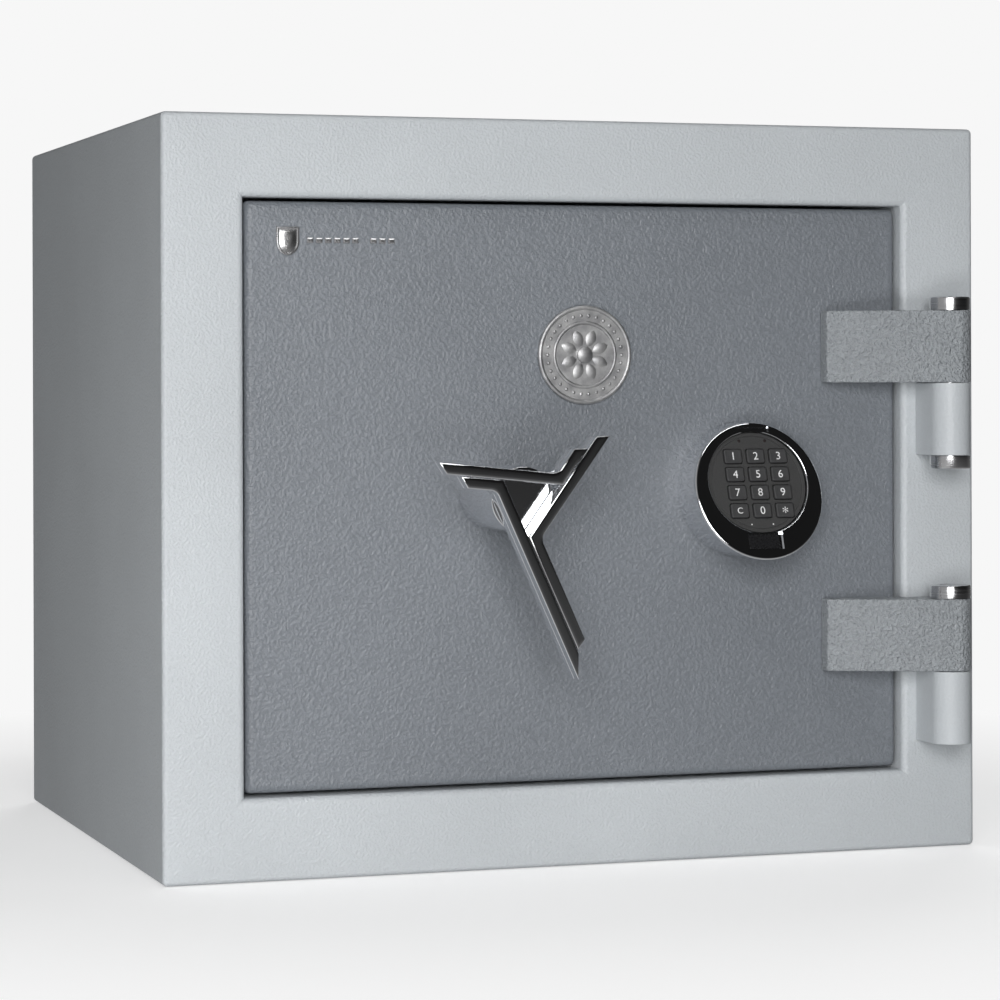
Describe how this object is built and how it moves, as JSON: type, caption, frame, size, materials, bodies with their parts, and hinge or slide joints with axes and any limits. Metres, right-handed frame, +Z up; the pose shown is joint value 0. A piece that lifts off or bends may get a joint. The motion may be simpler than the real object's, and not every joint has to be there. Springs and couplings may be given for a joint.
{
  "type": "safe",
  "caption": "Compact burglary-resistant safe with an external hinge, three-armed turning handle, sliding boltwork and a tilted electronic keypad.",
  "frame": {"origin": "middle of the underside of the body, without the hinges and handle", "axes": "+Z up, -Y out of the door's face, +X towards the hinge side"},
  "size_m": [0.52, 0.482, 0.45],
  "materials": {
    "body_paint": "light grey textured powder coat",
    "door_paint": "dark grey textured powder coat",
    "liner_paint": "grey smooth paint",
    "infill": "cast barrier concrete",
    "chrome": "polished",
    "bare_steel": "turned",
    "zinc_steel": "zinc plated",
    "pewter": "antique cast",
    "bronze": "turned",
    "keypad_black": "fine texture",
    "key_rubber": "matt with white legends",
    "board": "solder mask",
    "plug_plastic": "moulded",
    "cable": "jacket"
  },
  "bodies": {
    "body": {"front_frame": "body_paint", "outer_casing": "body_paint", "base_panel": "body_paint", "back_panel": "body_paint", "body_infill": "infill", "inner_liner": "liner_paint", "keeper_left": "zinc_steel", "keeper_right": "zinc_steel", "shelf": "liner_paint", "hinge_knuckle_upper": "body_paint", "hinge_knuckle_lower": "body_paint", "hinge_pin_upper": "bare_steel", "hinge_pin_lower": "bare_steel", "anchor_plug_base": "plug_plastic", "anchor_plug_back": "plug_plastic"},
    "door": {"door_plate": "door_paint", "hinge_arm_upper": "door_paint", "hinge_arm_lower": "door_paint", "door_pan": "liner_paint", "boltwork_cover": "liner_paint", "door_infill": "infill", "keypad_housing": "chrome", "dog_bolt_bar": "bare_steel", "bolt_guide": "zinc_steel", "lock_case": "zinc_steel", "lock_cover": "zinc_steel", "keypad_base": "zinc_steel", "badge": "pewter", "front_emblem": "pewter", "emblem_bar": "pewter", "spindle_bush": "bronze", "keypad_panel": "keypad_black", "contact_cover": "keypad_black", "keypad_battery": "keypad_black", "keypad_board": "board", "lock_cable": "cable"},
    "handle": {"handle_blade_top": "chrome", "handle_blade_right": "chrome", "handle_blade_lever": "chrome", "handle_hub": "chrome", "handle_spindle": "bare_steel", "cam_plate": "zinc_steel"},
    "boltwork": {"bolt_bar": "zinc_steel", "locking_bolt_lower": "bare_steel", "locking_bolt_middle": "bare_steel", "locking_bolt_upper": "bare_steel", "drive_plate": "zinc_steel"},
    "lock_bolt": {"lock_bolt": "bare_steel"},
    "key_1": {"key_1": "key_rubber"},
    "key_2": {"key_2": "key_rubber"},
    "key_3": {"key_3": "key_rubber"},
    "key_4": {"key_4": "key_rubber"},
    "key_5": {"key_5": "key_rubber"},
    "key_6": {"key_6": "key_rubber"},
    "key_7": {"key_7": "key_rubber"},
    "key_8": {"key_8": "key_rubber"},
    "key_9": {"key_9": "key_rubber"},
    "key_clear": {"key_clear": "key_rubber"},
    "key_0": {"key_0": "key_rubber"},
    "key_star": {"key_star": "key_rubber"}
  },
  "joints": [
    {"name": "door_swing", "type": "hinge", "parent": "body", "child": "door", "pos_m": [0.2325, -0.228, 0.2246], "axis": [0, 0, 1], "range_deg": [0, 180]},
    {"name": "handle_turn", "type": "hinge", "parent": "door", "child": "handle", "pos_m": [-0.058, -0.205, 0.2235], "axis": [0, 1, 0], "range_deg": [0, 60]},
    {"name": "bolt_throw", "type": "slide", "parent": "door", "child": "boltwork", "axis": [-1, 0, 0], "range_m": [0, 0.0281]},
    {"name": "lock_bolt_throw", "type": "slide", "parent": "door", "child": "lock_bolt", "axis": [0, 0, -1], "range_m": [0, 0.014]},
    {"name": "key_1_press", "type": "slide", "parent": "door", "child": "key_1", "axis": [0, 0.9472, -0.3206], "range_m": [0, 0.001], "stiffness_N_per_m": 200},
    {"name": "key_2_press", "type": "slide", "parent": "door", "child": "key_2", "axis": [0, 0.9472, -0.3206], "range_m": [0, 0.001], "stiffness_N_per_m": 200},
    {"name": "key_3_press", "type": "slide", "parent": "door", "child": "key_3", "axis": [0, 0.9472, -0.3206], "range_m": [0, 0.001], "stiffness_N_per_m": 200},
    {"name": "key_4_press", "type": "slide", "parent": "door", "child": "key_4", "axis": [0, 0.9472, -0.3206], "range_m": [0, 0.001], "stiffness_N_per_m": 200},
    {"name": "key_5_press", "type": "slide", "parent": "door", "child": "key_5", "axis": [0, 0.9472, -0.3206], "range_m": [0, 0.001], "stiffness_N_per_m": 200},
    {"name": "key_6_press", "type": "slide", "parent": "door", "child": "key_6", "axis": [0, 0.9472, -0.3206], "range_m": [0, 0.001], "stiffness_N_per_m": 200},
    {"name": "key_7_press", "type": "slide", "parent": "door", "child": "key_7", "axis": [0, 0.9472, -0.3206], "range_m": [0, 0.001], "stiffness_N_per_m": 200},
    {"name": "key_8_press", "type": "slide", "parent": "door", "child": "key_8", "axis": [0, 0.9472, -0.3206], "range_m": [0, 0.001], "stiffness_N_per_m": 200},
    {"name": "key_9_press", "type": "slide", "parent": "door", "child": "key_9", "axis": [0, 0.9472, -0.3206], "range_m": [0, 0.001], "stiffness_N_per_m": 200},
    {"name": "key_clear_press", "type": "slide", "parent": "door", "child": "key_clear", "axis": [0, 0.9472, -0.3206], "range_m": [0, 0.001], "stiffness_N_per_m": 200},
    {"name": "key_0_press", "type": "slide", "parent": "door", "child": "key_0", "axis": [0, 0.9472, -0.3206], "range_m": [0, 0.001], "stiffness_N_per_m": 200},
    {"name": "key_star_press", "type": "slide", "parent": "door", "child": "key_star", "axis": [0, 0.9472, -0.3206], "range_m": [0, 0.001], "stiffness_N_per_m": 200}
  ],
  "couplings": [
    {"joint": "bolt_throw", "follows": "handle_turn", "m_per_rad": 0.02673}
  ]
}
